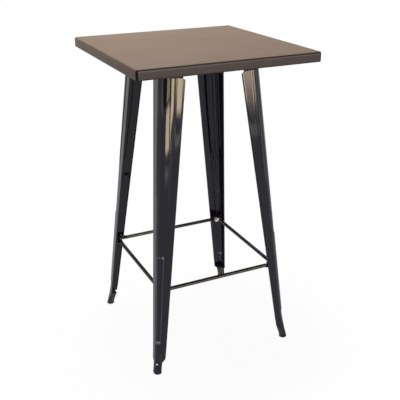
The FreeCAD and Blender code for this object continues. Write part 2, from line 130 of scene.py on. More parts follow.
CUT_EDGE = 0.25 * MM
PLATE_EDGE = 0.4 * MM
FOOTREST_EDGE = 0.3 * MM
FASTENER_EDGE = 0.25 * MM
BEVEL_SEGMENTS = 2
CAD_MERGE_GAP = 0.002 * MM
CAD_FLAT_ANGLE = 0.4
TOP_SHADE_ANGLE = 30.0
LEG_SHADE_ANGLE = 50.0
PLUG_SHADE_ANGLE = 40.0
SHEET_EDGE_ANGLE = 60.0
TURNED_EDGE_ANGLE = 35.0
TOLERANCE = 1e-6

# ---- dark welds, wear, painted shade and painted highlights; bands are measured from the top face, the hem or the weld ---

SKIRT_START = (4.0 * MM, 2.0 * MM)
WELD_BAND = (3.0 * MM, 1.4 * MM)
HEM_SHADE_BAND = (1.5 * MM, 4.0 * MM)
FOLD_SHADE_BAND = (5.0 * MM, 1.4 * MM)
FOLD_HIGHLIGHT_BAND = (8.4 * MM, 5.2 * MM)
BAND_SOFTNESS = 0.8 * MM
ROUNDED_CORNER_LOSS = 0.59
SIDE_CHANGE = 2.0 * MM
SIDE_PAINTED_LIGHT_SHARE = 0.15
FRONT_PAINTED_LIGHT_SHARE = 0.7
HEM_SHADE_SHARE = 0.6
WELD_AND_SHADE_TONE = 0.10
FOLD_HIGHLIGHT_LIGHTNESS = 1.9

# painted highlight: lighter, duller lacquer on the corner bead's shoulder and ends, in place of the bright
# lines the bead catches
BEAD_HIGHLIGHT = "painted_highlight"
BEAD_HIGHLIGHT_COLOUR = (0.55, 0.52, 0.60)
BEAD_HIGHLIGHT_FULLY_DULL = 0.2
BEAD_HIGHLIGHT_ROUGHNESS = 0.4
SHOULDER_HIGHLIGHT = 0.22
SHOULDER_HIGHLIGHT_SHAPE = (0.0, 0.2, 0.8, 1.0, 0.8, 0.3, 0.0)
HIGH_END_HIGHLIGHT = 0.3
END_SPREAD = 0.8
HIGHLIGHT_TIP_RISE = 2.0 * MM
HIGHLIGHT_TIP_REACH = 7.0 * MM
SCUFF_COLOUR = (0.10, 0.085, 0.075)
DUST_COLOUR = (0.12, 0.11, 0.10)


# ---- user settings ------------------------------------------------------------------

class TableFinish(bpy.types.PropertyGroup):
    """Colours of the table's finishes."""

    top_colour: FloatVectorProperty(
        name="Top", description="Satin lacquer on the folded top", subtype="COLOR",
        size=3, min=0.0, max=1.0, default=(0.270, 0.203, 0.158))
    leg_colour: FloatVectorProperty(
        name="Legs", description="Gloss lacquer on the pressed legs", subtype="COLOR",
        size=3, min=0.0, max=1.0, default=(0.008, 0.006, 0.024))
    rod_colour: FloatVectorProperty(
        name="Footrest", description="Gloss lacquer on the footrest rods", subtype="COLOR",
        size=3, min=0.0, max=1.0, default=(0.020, 0.018, 0.020))
    plug_colour: FloatVectorProperty(
        name="Foot plugs", description="Moulded plastic in the feet", subtype="COLOR",
        size=3, min=0.0, max=1.0, default=(0.020, 0.018, 0.017))
    zinc_colour: FloatVectorProperty(
        name="Fasteners", description="Bright zinc plate", subtype="COLOR",
        size=3, min=0.0, max=1.0, default=(0.72, 0.72, 0.70))
    floor_colour: FloatVectorProperty(
        name="Floor", description="Plain studio floor and backdrop", subtype="COLOR",
        size=3, min=0.0, max=1.0, default=(0.94, 0.94, 0.94))


class TableSizes(bpy.types.PropertyGroup):
    """Small sizes that shape the look of the pressed and folded parts."""

    pan_edge: FloatProperty(
        name="Top edge radius", description="Radius where the top folds down to the skirt",
        default=PAN_EDGE, min=0.001, unit="LENGTH")
    pan_corner: FloatProperty(
        name="Top corner radius", description="Radius of the skirt's upright corners",
        default=PAN_CORNER, min=0.001, unit="LENGTH")
    flange_bead: FloatProperty(
        name="Flange bead", description="How far the tapered bead stands out of the flange",
        default=FLANGE_BEAD_RISE, min=0.0, unit="LENGTH")
    corner_bead: FloatProperty(
        name="Corner bead", description="How far the bead stands out of the leg's corner",
        default=CORNER_BEAD_RISE, min=0.0, unit="LENGTH")
    edge_softness: FloatProperty(
        name="Edge softness", description="Bevel on cut sheet edges",
        default=CUT_EDGE, min=0.0, unit="LENGTH")


# ---- material groups ----------------------------------------------------------------

def new_group(name, inputs, outputs):
    """An empty shader group with named sockets, and its two ends."""
    group = bpy.data.node_groups.new(name, "ShaderNodeTree")
    for label, kind, value in inputs:
        socket = group.interface.new_socket(name=label, in_out="INPUT", socket_type=kind)
        socket.default_value = value
    for label, kind in outputs:
        group.interface.new_socket(name=label, in_out="OUTPUT", socket_type=kind)
    start = group.nodes.new("NodeGroupInput")
    end = group.nodes.new("NodeGroupOutput")
    return group, start, end


def stretched_noise(tree, scale_socket, stretch, detail):
    """Noise in object space, drawn out along the axes by the stretch vector."""
    coords = tree.nodes.new("ShaderNodeTexCoord")
    mapping = tree.nodes.new("ShaderNodeMapping")
    mapping.inputs["Scale"].default_value = stretch
    noise = tree.nodes.new("ShaderNodeTexNoise")
    noise.inputs["Detail"].default_value = detail
    tree.links.new(coords.outputs["Object"], mapping.inputs["Vector"])
    tree.links.new(mapping.outputs["Vector"], noise.inputs["Vector"])
    if scale_socket is not None:
        tree.links.new(scale_socket, noise.inputs["Scale"])
    return noise


def remap(tree, source, low, high, to_low=0.0, to_high=1.0):
    """A smooth step between two values of a socket."""
    node = tree.nodes.new("ShaderNodeMapRange")
    node.interpolation_type = "SMOOTHSTEP"
    node.inputs["From Min"].default_value = low
    node.inputs["From Max"].default_value = high
    node.inputs["To Min"].default_value = to_low
    node.inputs["To Max"].default_value = to_high
    tree.links.new(source, node.inputs["Value"])
    return node.outputs["Result"]


def calculate(tree, operation, first, second):
    """One Math node; either value is a socket or a number."""
    node = tree.nodes.new("ShaderNodeMath")
    node.operation = operation
    for value, socket in zip((first, second), node.inputs):
        if isinstance(value, bpy.types.NodeSocket):
            tree.links.new(value, socket)
        else:
            socket.default_value = value
    return node.outputs["Value"]


def blend_colours(tree, factor, first, second):
    """Mix of two colours; each is a socket or a colour."""
    node = tree.nodes.new("ShaderNodeMix")
    node.data_type = "RGBA"
    tree.links.new(factor, node.inputs[0])
    for value, socket in ((first, node.inputs[6]), (second, node.inputs[7])):
        if isinstance(value, bpy.types.NodeSocket):
            tree.links.new(value, socket)
        else:
            socket.default_value = (*value, 1.0)
    return node.outputs[2]


def lacquer_group():
    """Sprayed lacquer on sheet: soft cloudiness, uneven gloss, orange peel and a slow ripple."""
    name = "sprayed_lacquer"
    if name in bpy.data.node_groups:
        return bpy.data.node_groups[name]
    group, start, end = new_group(name, [
        ("Colour", "NodeSocketColor", (0.1, 0.1, 0.1, 1.0)),
        ("Cloud Colour", "NodeSocketColor", (0.2, 0.2, 0.2, 1.0)),
        ("Cloud Scale", "NodeSocketFloat", 8.0),
        ("Gloss Low", "NodeSocketFloat", 0.2),
        ("Gloss High", "NodeSocketFloat", 0.3),
        ("Peel", "NodeSocketFloat", 0.3),
        ("Ripple", "NodeSocketFloat", 0.0),
    ], [("Colour", "NodeSocketColor"), ("Roughness", "NodeSocketFloat"), ("Height", "NodeSocketFloat")])
    link = group.links.new
    cloud = stretched_noise(group, start.outputs["Cloud Scale"], (1.0, 1.0, 1.0), 4.0)
    share = remap(group, cloud.outputs["Fac"], 0.32, 0.68)
    link(blend_colours(group, share, start.outputs["Colour"], start.outputs["Cloud Colour"]),
         end.inputs["Colour"])

    smear = stretched_noise(group, None, (1.0, 1.0, 0.35), 5.0)
    smear.inputs["Scale"].default_value = 14.0
    uneven = remap(group, smear.outputs["Fac"], 0.3, 0.7)
    spread = calculate(group, "SUBTRACT", start.outputs["Gloss High"], start.outputs["Gloss Low"])
    gloss = calculate(group, "MULTIPLY", uneven, spread)
    link(calculate(group, "ADD", gloss, start.outputs["Gloss Low"]), end.inputs["Roughness"])

    peel = stretched_noise(group, None, (1.0, 1.0, 1.0), 1.0)
    peel.inputs["Scale"].default_value = 320.0
    ripple = stretched_noise(group, None, (1.0, 1.0, 0.06), 1.0)
    ripple.inputs["Scale"].default_value = 34.0
    peel_height = calculate(group, "MULTIPLY", peel.outputs["Fac"], start.outputs["Peel"])
    ripple_height = calculate(group, "MULTIPLY", ripple.outputs["Fac"], start.outputs["Ripple"])
    link(calculate(group, "ADD", peel_height, ripple_height), end.inputs["Height"])
    return group


def wear_group():
    """Mask of fine scuffs that thicken below a height, as shoes and mops leave them."""
    name = "floor_scuffs"
    if name in bpy.data.node_groups:
        return bpy.data.node_groups[name]
    group, start, end = new_group(name, [
        ("Clear Height", "NodeSocketFloat", 0.12),
        ("Amount", "NodeSocketFloat", 0.5),
    ], [("Mask", "NodeSocketFloat")])
    coords = group.nodes.new("ShaderNodeTexCoord")
    split = group.nodes.new("ShaderNodeSeparateXYZ")
    group.links.new(coords.outputs["Object"], split.inputs["Vector"])
    near_floor = calculate(group, "DIVIDE", split.outputs["Z"], start.outputs["Clear Height"])
    near_floor = remap(group, near_floor, 0.0, 1.0, 1.0, 0.0)
    scuff = stretched_noise(group, None, (1.0, 1.0, 0.4), 8.0)
    scuff.inputs["Scale"].default_value = 60.0
    grains = remap(group, scuff.outputs["Fac"], 0.52, 0.66)
    mask = calculate(group, "MULTIPLY", grains, near_floor)
    mask = calculate(group, "MULTIPLY", mask, start.outputs["Amount"])
    group.links.new(mask, end.inputs["Mask"])
    return group


def new_material(name):
    """A new material, its node tree and its Principled shader."""
    material = bpy.data.materials.new(name)
    material.use_nodes = True
    tree = material.node_tree
    return material, tree, tree.nodes["Principled BSDF"]


def bumped(tree, shader, height, distance):
    """Feeds a height to the shader's normal."""
    bump = tree.nodes.new("ShaderNodeBump")
    bump.inputs["Distance"].default_value = distance
    tree.links.new(height, bump.inputs["Height"])
    tree.links.new(bump.outputs["Normal"], shader.inputs["Normal"])


def height_band(tree, height, low, high):
    """Mask that is 1 between two heights and fades outside them."""
    rising = remap(tree, height, low - BAND_SOFTNESS, low + BAND_SOFTNESS)
    falling = remap(tree, height, high - BAND_SOFTNESS, high + BAND_SOFTNESS, 1.0, 0.0)
    return calculate(tree, "MULTIPLY", rising, falling)


def tinted(colour, factor):
    """The colour, lighter or darker by a factor."""
    return tuple(min(c * factor, 1.0) for c in colour)


def place_group(tree, group, values):
    """A group node with its inputs set."""
    node = tree.nodes.new("ShaderNodeGroup")
    node.node_tree = group
    for label, value in values.items():
        node.inputs[label].default_value = (*value, 1.0) if isinstance(value, tuple) else value
    return node


def top_lacquer():
    """Satin bronze lacquer, faintly cloudy, dark in the welds, with painted shade on the hem and top fold, a
    painted highlight below the fold.
    """
    name = "satin_bronze_lacquer"
    if name in bpy.data.materials:
        return bpy.data.materials[name]
    colour = tuple(bpy.context.scene.table_finish.top_colour)
    material, tree, shader = new_material(name)
    film = place_group(tree, lacquer_group(), {
        "Colour": tinted(colour, 0.97), "Cloud Colour": tinted(colour, 1.04), "Cloud Scale": 5.0,
        "Gloss Low": 0.38, "Gloss High": 0.44, "Peel": 0.4, "Ripple": 0.0})
    coords = tree.nodes.new("ShaderNodeTexCoord")
    split = tree.nodes.new("ShaderNodeSeparateXYZ")
    tree.links.new(coords.outputs["Object"], split.inputs["Vector"])
    low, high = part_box("tabletop_pan")
    across = calculate(tree, "ABSOLUTE", split.outputs["X"], 0.0)
    along = calculate(tree, "ABSOLUTE", split.outputs["Y"], 0.0)
    height = split.outputs["Z"]
    corner = 2 * high.x - ROUNDED_CORNER_LOSS * PAN_CORNER
    skirt = remap(tree, height, high.z - SKIRT_START[0], high.z - SKIRT_START[1], 1.0, 0.0)
    weld = remap(tree, calculate(tree, "ADD", across, along), corner - WELD_BAND[0], corner - WELD_BAND[1])
    weld = calculate(tree, "MULTIPLY", weld, skirt)
    # painted shade: the skirt darkens towards its lower edge along the hem
    foot = remap(tree, height, low.z + HEM_SHADE_BAND[0], low.z + HEM_SHADE_BAND[1], 1.0, 0.0)
    foot = calculate(tree, "MULTIPLY", foot, HEM_SHADE_SHARE)
    # the painted shade and painted highlight of the fold are stronger on the front and back skirts than on
    # the left and right
    pressed = remap(tree, calculate(tree, "SUBTRACT", along, across), 0.0, SIDE_CHANGE,
                    SIDE_PAINTED_LIGHT_SHARE, FRONT_PAINTED_LIGHT_SHARE)
    # painted shade: a dark band on the lower part of the top fold
    crease = height_band(tree, height, high.z - FOLD_SHADE_BAND[0], high.z - FOLD_SHADE_BAND[1])
    crease = calculate(tree, "MULTIPLY", crease, pressed)
    # painted highlight: a light band on the skirt just below the top fold
    fold_highlight = height_band(tree, height, high.z - FOLD_HIGHLIGHT_BAND[0], high.z - FOLD_HIGHLIGHT_BAND[1])
    fold_highlight = calculate(tree, "MULTIPLY", fold_highlight, pressed)
    # dark corner welds together with the painted shade of the hem and the fold
    weld_and_shade_mask = calculate(tree, "MAXIMUM", foot, calculate(tree, "MAXIMUM", weld, crease))
    painted_highlight = blend_colours(tree, fold_highlight, film.outputs["Colour"], tinted(colour, FOLD_HIGHLIGHT_LIGHTNESS))
    weld_and_shade_colour = blend_colours(tree, weld_and_shade_mask, painted_highlight, tinted(colour, WELD_AND_SHADE_TONE))
    tree.links.new(weld_and_shade_colour, shader.inputs["Base Color"])
    tree.links.new(film.outputs["Roughness"], shader.inputs["Roughness"])
    bumped(tree, shader, film.outputs["Height"], 0.0001)
    shader.inputs["Specular IOR Level"].default_value = 0.05
    return material


def leg_lacquer():
    """Gloss gunmetal lacquer, rippled like pressed sheet, scuffed at the foot, with a dull painted highlight
    on the corner bead.
    """
    name = "gloss_gunmetal_lacquer"
    if name in bpy.data.materials:
        return bpy.data.materials[name]
    colour = tuple(bpy.context.scene.table_finish.leg_colour)
    material, tree, shader = new_material(name)
    film = place_group(tree, lacquer_group(), {
        "Colour": colour, "Cloud Colour": tinted(colour, 1.35), "Cloud Scale": 9.0,
        "Gloss Low": 0.03, "Gloss High": 0.07, "Peel": 0.03, "Ripple": 0.6})
    scuffs = place_group(tree, wear_group(), {"Clear Height": 0.13, "Amount": 0.60})
    wear_and_highlight = blend_colours(tree, scuffs.outputs["Mask"], film.outputs["Colour"], SCUFF_COLOUR)
    # painted highlight: lighter lacquer on the corner bead's shoulder and ends, read from the mesh, also made
    # rougher there
    painted_highlight = tree.nodes.new("ShaderNodeAttribute")
    painted_highlight.attribute_name = BEAD_HIGHLIGHT
    wear_and_highlight = blend_colours(tree, painted_highlight.outputs["Fac"], wear_and_highlight, BEAD_HIGHLIGHT_COLOUR)
    dull = remap(tree, painted_highlight.outputs["Fac"], 0.0, BEAD_HIGHLIGHT_FULLY_DULL, 0.0, BEAD_HIGHLIGHT_ROUGHNESS)
    rough = calculate(tree, "MAXIMUM", film.outputs["Roughness"], scuffs.outputs["Mask"])
    rough = calculate(tree, "MAXIMUM", rough, dull)
    tree.links.new(wear_and_highlight, shader.inputs["Base Color"])
    tree.links.new(rough, shader.inputs["Roughness"])
    bumped(tree, shader, film.outputs["Height"], 0.0004)
    shader.inputs["Specular IOR Level"].default_value = 0.28
    return material


def rod_lacquer():
    """Gloss black lacquer on drawn rod."""
    name = "gloss_rod_lacquer"
    if name in bpy.data.materials:
        return bpy.data.materials[name]
    colour = tuple(bpy.context.scene.table_finish.rod_colour)
    material, tree, shader = new_material(name)
    film = place_group(tree, lacquer_group(), {
        "Colour": colour, "Cloud Colour": tinted(colour, 1.6), "Cloud Scale": 22.0,
        "Gloss Low": 0.24, "Gloss High": 0.32, "Peel": 0.3, "Ripple": 0.0})
    tree.links.new(film.outputs["Colour"], shader.inputs["Base Color"])
    tree.links.new(film.outputs["Roughness"], shader.inputs["Roughness"])
    bumped(tree, shader, film.outputs["Height"], 0.0001)
    shader.inputs["Specular IOR Level"].default_value = 0.42
    return material


def plug_plastic():
    """Black moulded plastic with a fine grain and dust near the floor."""
    name = "moulded_black_plastic"
    if name in bpy.data.materials:
        return bpy.data.materials[name]
    colour = tuple(bpy.context.scene.table_finish.plug_colour)
    material, tree, shader = new_material(name)
    film = place_group(tree, lacquer_group(), {
        "Colour": colour, "Cloud Colour": tinted(colour, 1.5), "Cloud Scale": 60.0,
        "Gloss Low": 0.5, "Gloss High": 0.65, "Peel": 1.0, "Ripple": 0.0})
    scuffs = place_group(tree, wear_group(), {"Clear Height": 0.02, "Amount": 0.6})
    wear_and_highlight = blend_colours(tree, scuffs.outputs["Mask"], film.outputs["Colour"], DUST_COLOUR)
    tree.links.new(wear_and_highlight, shader.inputs["Base Color"])
    tree.links.new(film.outputs["Roughness"], shader.inputs["Roughness"])
    bumped(tree, shader, film.outputs["Height"], 0.0002)
    return material


def zinc_plate():
    """Bright zinc plate with a fine grain."""
    name = "bright_zinc_plate"
    if name in bpy.data.materials:
        return bpy.data.materials[name]
    colour = tuple(bpy.context.scene.table_finish.zinc_colour)
    material, tree, shader = new_material(name)
    film = place_group(tree, lacquer_group(), {
        "Colour": tinted(colour, 0.85), "Cloud Colour": colour, "Cloud Scale": 180.0,
        "Gloss Low": 0.28, "Gloss High": 0.38, "Peel": 0.6, "Ripple": 0.0})
    tree.links.new(film.outputs["Colour"], shader.inputs["Base Color"])
    tree.links.new(film.outputs["Roughness"], shader.inputs["Roughness"])
    bumped(tree, shader, film.outputs["Height"], 0.00005)
    shader.inputs["Metallic"].default_value = 1.0
    return material


# ---- pieces: shared steps -----------------------------------------------------------

def new_piece(name, bm, material, nodes):
    """Turns a finished bmesh into a piece that stands for the given CAD nodes."""
    mesh = bpy.data.meshes.new(name)
    bm.to_mesh(mesh)
    bm.free()
    mesh.materials.append(material)
    piece = bpy.data.objects.new(name, mesh)
    bpy.context.scene.collection.objects.link(piece)
    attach(piece, "root")
    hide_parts(*nodes)
    return piece


def smooth_shaded(piece, degrees):
    """Smooth shading that keeps edges sharper than the angle."""
    piece.data.shade_smooth()
    piece.data.set_sharp_from_angle(angle=math.radians(degrees))


def add_wall(piece, thickness):
    """Gives an open outer skin its sheet thickness, inwards."""
    wall = piece.modifiers.new("sheet", "SOLIDIFY")
    wall.thickness = thickness
    wall.offset = -1.0
    wall.use_even_offset = True
    wall.use_quality_normals = True


def add_soft_edges(piece, width, degrees):
    """Rounds the edges that are sharper than the angle."""
    bevel = piece.modifiers.new("soft_edges", "BEVEL")
    bevel.width = width
    bevel.segments = BEVEL_SEGMENTS
    bevel.limit_method = "ANGLE"
    bevel.angle_limit = math.radians(degrees)
    bevel.harden_normals = True


def refined_copy(node, name, material, edge, degrees=40.0):
    """A CAD node's own shape as a clean mesh with softened edges."""
    bm = bmesh.new()
    bm.from_mesh(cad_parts[node].data)
    bmesh.ops.remove_doubles(bm, verts=bm.verts, dist=CAD_MERGE_GAP)
    bmesh.ops.dissolve_limit(bm, angle_limit=math.radians(CAD_FLAT_ANGLE), verts=bm.verts, edges=bm.edges)
    piece = new_piece(name, bm, material, [node])
    smooth_shaded(piece, degrees)
    add_soft_edges(piece, edge, degrees)


def turn_to_corner(bm, degrees):
    """Turns a shape made for the back right corner to another corner."""
    turn = Matrix.Rotation(math.radians(degrees), 3, "Z")
    bmesh.ops.rotate(bm, cent=(0, 0, 0), matrix=turn, verts=bm.verts)


# ---- tabletop -----------------------------------------------------------------------

def upright_edges(bm):
    """The box's four vertical edges."""
    return [e for e in bm.edges if abs(e.verts[0].co.z - e.verts[1].co.z) > TOLERANCE]


def make_top():
    """Folded sheet top: flat field, rounded rim, skirt with a sunk corner weld, turned-in hem."""
    sizes = bpy.context.scene.table_sizes
    low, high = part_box("tabletop_pan")
    half, depth = high.x, high.z - low.z
    bm = bmesh.new()
    bmesh.ops.create_cube(bm, size=1.0)
    bmesh.ops.scale(bm, vec=(2 * half, 2 * half, depth), verts=bm.verts)
    bmesh.ops.translate(bm, vec=(0.0, 0.0, high.z - depth / 2), verts=bm.verts)
    bm.faces.ensure_lookup_table()
    floor_face = min(bm.faces, key=lambda f: f.calc_center_median().z)
    bmesh.ops.delete(bm, geom=[floor_face], context="FACES_ONLY")
    bmesh.ops.bevel(bm, geom=upright_edges(bm), offset=sizes.pan_corner, affect="EDGES",
                    segments=8, profile=0.5, material=-1)
    rim = [e for e in bm.edges if min(v.co.z for v in e.verts) > high.z - TOLERANCE]
    bmesh.ops.bevel(bm, geom=rim, offset=sizes.pan_edge, affect="EDGES",
                    segments=10, profile=0.5, material=-1)
    fold_start = high.z - sizes.pan_edge + TOLERANCE
    weld = [v for v in bm.verts if abs(abs(v.co.x) - abs(v.co.y)) < TOLERANCE and v.co.z < fold_start]
    for vertex in weld:
        inwards = Vector((-vertex.co.x, -vertex.co.y, 0.0)).normalized()
        vertex.co += inwards * SEAM_DEPTH
    hem = [e for e in bm.edges if e.is_boundary]
    fold = bmesh.ops.extrude_edge_only(bm, edges=hem)["geom"]
    turned_in = [g for g in fold if isinstance(g, bmesh.types.BMVert)]
    share = (half - PAN_HEM) / half
    bmesh.ops.scale(bm, vec=(share, share, 1.0), verts=turned_in)
    crease = [e for e in bm.edges if not e.is_boundary and max(v.co.z for v in e.verts) < low.z + TOLERANCE
              and len(e.link_faces) == 2 and e.calc_face_angle() > FOLD_RADIANS]
    bmesh.ops.bevel(bm, geom=crease, offset=PAN_HEM_BEND, affect="EDGES",
                    segments=3, profile=0.5, material=-1)
    bmesh.ops.recalc_face_normals(bm, faces=bm.faces)
    top_face = max(bm.faces, key=lambda f: f.calc_center_median().z)
    if top_face.normal.z < 0:
        bmesh.ops.reverse_faces(bm, faces=bm.faces)
    piece = new_piece("folded_top", bm, top_lacquer(), ["tabletop_pan"])
    smooth_shaded(piece, TOP_SHADE_ANGLE)
    add_wall(piece, PAN_SHEET)
    add_soft_edges(piece, sizes.edge_softness, SHEET_EDGE_ANGLE)


# ---- legs ---------------------------------------------------------------------------

def along_leg(z, floor, top):
    """Value that runs evenly from the floor to the leg's top."""
    return floor + (top - floor) * z / LEG_HEIGHT


def between(z, z0, v0, z1, v1):
    """Value that runs evenly from v0 at z0 to v1 at z1, and stays level outside."""
    return v0 + (v1 - v0) * min(max((z - z0) / (z1 - z0), 0.0), 1.0)


def ease(t):
    """Smooth step from 0 to 1."""
    t = min(max(t, 0.0), 1.0)
    return t * t * (3 - 2 * t)


def foot_share(z):
    """1 at the floor, 0 where the foot's bend starts."""
    return max(FOOT_BEND - z, 0.0) / FOOT_BEND


def corner_at(z):
    """Distance of the leg's virtual outer corner from the table's middle planes."""
    return along_leg(z, LEG_CORNER_FLOOR, LEG_CORNER_TOP) + FOOT_FLARE * foot_share(z) ** 2


def flange_at(z):
    """Width of the flange from the leg's virtual corner."""
    return along_leg(z, LEG_FLANGE_FLOOR, LEG_FLANGE_TOP)


def radius_at(z):
    """Radius of the leg's rounded corner, which closes to the pad's at the foot."""
    straight = along_leg(z, LEG_RADIUS_FLOOR, LEG_RADIUS_TOP)
    share = foot_share(z)
    return straight + (PAD_RADIUS - straight) * share * (2 - share)


def flange_cut_at(z):
    """How far from the corner the flange reaches: it is cut back at the top end and above the foot."""
    if z > FOOT_CUT_HIGH:
        return flange_at(z) - max(z - CHAMFER_START, 0.0) * CHAMFER_WIDTH / CHAMFER_HEIGHT
    if z > FOOT_CUT_LOW:
        low_x = corner_at(FOOT_CUT_LOW) - FOOT_CUT_REACH
        high_x = corner_at(FOOT_CUT_HIGH) - flange_at(FOOT_CUT_HIGH)
        return corner_at(z) - between(z, FOOT_CUT_LOW, low_x, FOOT_CUT_HIGH, high_x)
    low_x = corner_at(FOOT_CUT_LOW) - FOOT_CUT_REACH
    wrap_x = corner_at(PAD_THICKNESS) - FOOT_WRAP
    return corner_at(z) - between(z, 0.0, wrap_x, FOOT_CUT_LOW, low_x)


def shoulder_steps(start, end, rise):
    """Points up one soft shoulder of a bead, as (distance from corner, rise)."""
    return [(start + (end - start) * i / SHOULDER_STEPS, rise * ease(i / SHOULDER_STEPS))
            for i in range(SHOULDER_STEPS + 1)]


def steps_between(start, end, rise, count):
    """Points that fill the stretch between two distances from the corner, without its ends."""
    return [(start + (end - start) * i / count, rise) for i in range(1, count)]


def flange_profile(z, flange_rise, corner_rise):
    """Flange from its bead's far foot to the corner bead's crest, as (distance from corner, rise)."""
    radius = radius_at(z)
    lift = flange_rise * ease((z - FLANGE_BEAD_TIP + FLANGE_RUN_OUT) / FLANGE_RUN_OUT)
    near = FLANGE_BEAD_EDGE * min(radius / radius_at(FLANGE_BEAD_TIP), 1.0)
    width = between(z, FLANGE_BEAD_TIP, FLANGE_BEAD_TIP_WIDTH, FLANGE_BEAD_FULL, FLANGE_BEAD_WIDTH)
    spill = (BEAD_SHOULDER - BEAD_SIDE) / 2
    near, far = near - spill, near + width + spill
    shoulder = min(BEAD_SHOULDER, (far - near) / 2)
    corner_lift = corner_rise * ease((z - CORNER_BEAD_LOW + BEAD_RUN_OUT) / BEAD_RUN_OUT)
    corner_lift *= ease((CORNER_BEAD_HIGH + BEAD_RUN_OUT - z) / BEAD_RUN_OUT)
    reach = between(z, CORNER_BEAD_LOW, CORNER_BEAD_REACH_LOW, CORNER_BEAD_HIGH, CORNER_BEAD_REACH_HIGH)
    reach *= min(radius / radius_at(CORNER_BEAD_LOW), 1.0)
    foot = min(reach + BEAD_SIDE + spill, near - BEAD_FOOT_GAP)
    points = shoulder_steps(far, far - shoulder, lift)
    points += steps_between(far - shoulder, near + shoulder - POINT_GAP, lift, FLAT_STEPS)
    falling = shoulder_steps(near + shoulder - 2 * POINT_GAP, near, lift)
    points += [(s, lift - rise) for s, rise in falling]
    points += steps_between(near, foot, 0.0, FLAT_STEPS)
    points += shoulder_steps(foot, reach - spill, corner_lift)
    return points, corner_lift


def painted_highlight_shares(z, count, corner_rise, corner_lift):
    """Share of painted highlight along one half section: a line on the corner bead's shoulder and spots at
    its ends.
    """
    lifted = corner_lift / max(corner_rise, TOLERANCE)
    end = max(1 - abs(z - CORNER_BEAD_LOW - HIGHLIGHT_TIP_RISE) / HIGHLIGHT_TIP_REACH, 0.0)
    if z > (CORNER_BEAD_LOW + CORNER_BEAD_HIGH) / 2:
        end = HIGH_END_HIGHLIGHT * 4 * lifted * (1 - lifted)
    clear = [0.0] * (count - ARC_STEPS - len(SHOULDER_HIGHLIGHT_SHAPE))
    shoulder = [max(SHOULDER_HIGHLIGHT * lifted * share, END_SPREAD * end * i / SHOULDER_STEPS)
                for i, share in enumerate(SHOULDER_HIGHLIGHT_SHAPE)]
    return clear + shoulder + [end] * ARC_STEPS


def half_section(z, flange_rise, corner_rise):
    """Outer face of one flange at a height, as (x, y, painted highlight share), from its lip to the corner
    arc's middle.
    """
    c, radius = corner_at(z), radius_at(z)
    edge = flange_at(z)
    cut = flange_cut_at(z)
    profile, corner_lift = flange_profile(z, flange_rise, corner_rise)
    points = [(edge, -LIP_WIDTH), (edge, -(LIP_WIDTH + LIP_BEND) / 2)]
    for i in range(LIP_STEPS + 1):
        angle = math.radians(90.0 * i / LIP_STEPS)
        points.append((edge - LIP_BEND * (1 - math.cos(angle)), -LIP_BEND * (1 - math.sin(angle))))
    points += steps_between(edge - LIP_BEND, profile[0][0], 0.0, FLAT_STEPS)
    points += profile
    if cut < edge - TOLERANCE:
        points = [(min(s, cut), rise if s <= cut else 0.0) for s, rise in points]
    start = math.asin(1 - points[-1][0] / radius)
    for i in range(1, ARC_STEPS + 1):
        angle = start + (math.radians(45.0) - start) * i / ARC_STEPS
        points.append((radius * (1 - math.sin(angle)), corner_lift))
    section = []
    # each point's share of the painted highlight on the corner bead
    painted_highlight = painted_highlight_shares(z, len(points), corner_rise, corner_lift)
    for (s, rise), wear_and_highlight in zip(points, painted_highlight):
        share = max(radius - s, 0.0) / radius
        section.append((c - max(s, radius) + (radius + rise) * share,
                        c - radius + (radius + rise) * math.sqrt(1 - share * share), wear_and_highlight))
    return section


def leg_rows():
    """Heights of the leg's mesh rows: close where the shape turns, wide apart elsewhere."""
    hair = 0.25 * MM
    low, high = CORNER_BEAD_LOW, CORNER_BEAD_HIGH
    # top of the painted highlight spot at the corner bead's low end
    wear_and_highlight = low + HIGHLIGHT_TIP_RISE + HIGHLIGHT_TIP_REACH
    bead_start = FLANGE_BEAD_TIP - FLANGE_RUN_OUT
    stretches = (
        (PAD_THICKNESS, FOOT_CUT_LOW, 8),
        (FOOT_CUT_LOW, FOOT_CUT_HIGH, 3),
        (FOOT_CUT_HIGH, FOOT_CUT_HIGH + hair, 1),
        (FOOT_CUT_HIGH + hair, FOOT_BEND, 8),
        (FOOT_BEND, low - BEAD_RUN_OUT, 1),
        (low - BEAD_RUN_OUT, low, 6),
        (low, wear_and_highlight, 5),
        (wear_and_highlight, high, 14),
        (high, high + BEAD_RUN_OUT, 6),
        (high + BEAD_RUN_OUT, bead_start, 9),
        (bead_start, FLANGE_BEAD_TIP, 8),
        (FLANGE_BEAD_TIP, FLANGE_BEAD_FULL, 9),
        (FLANGE_BEAD_FULL, CHAMFER_START, 7),
    )
    rows = [start + (end - start) * i / count for start, end, count in stretches for i in range(count)]
    return rows + [CHAMFER_START, CHAMFER_START + hair, CHAMFER_START + CHAMFER_HEIGHT,
                   LEG_HEIGHT + CHAMFER_HEIGHT]


